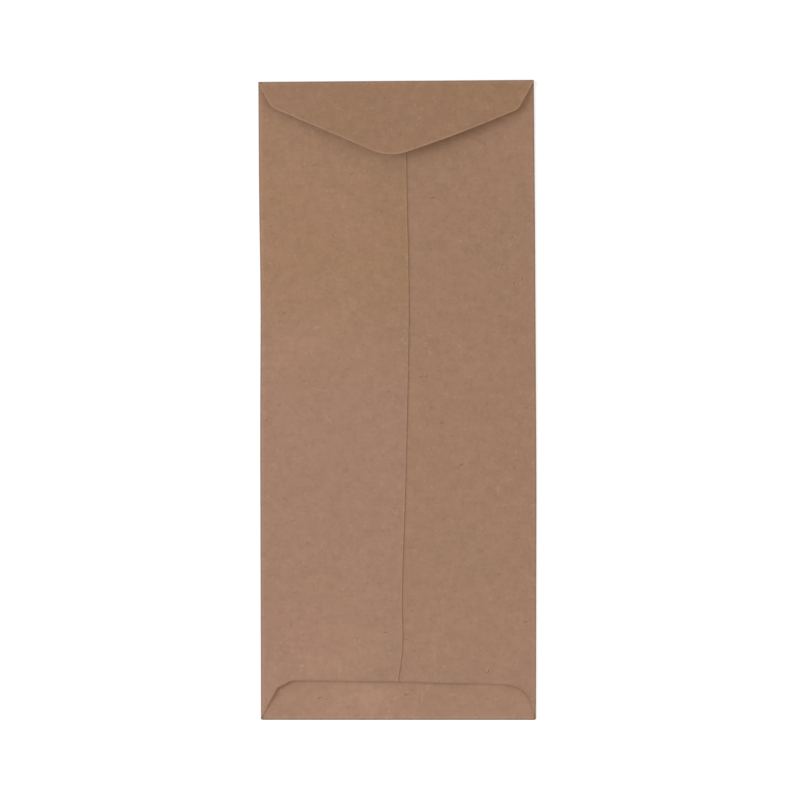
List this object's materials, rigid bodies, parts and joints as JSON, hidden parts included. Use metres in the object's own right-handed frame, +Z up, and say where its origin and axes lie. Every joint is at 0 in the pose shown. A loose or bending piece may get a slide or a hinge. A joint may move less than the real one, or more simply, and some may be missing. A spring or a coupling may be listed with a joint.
{
  "type": "paper envelope",
  "caption": "Long open-end kraft envelope folded from one sheet: glued centre seam, pointed seal flap at the top, and a bottom flap glued under the side panels.",
  "frame": {"origin": "under the middle of the closed envelope, on the outside of its front panel", "axes": "+Y along the envelope towards the seal flap, +X across it, +Z up out of the seam side"},
  "size_m": [0.104, 0.2412, 0.0049],
  "materials": {
    "kraft_paper": "matte"
  },
  "bodies": {
    "root": {"envelope": "kraft_paper"}
  },
  "joints": []
}
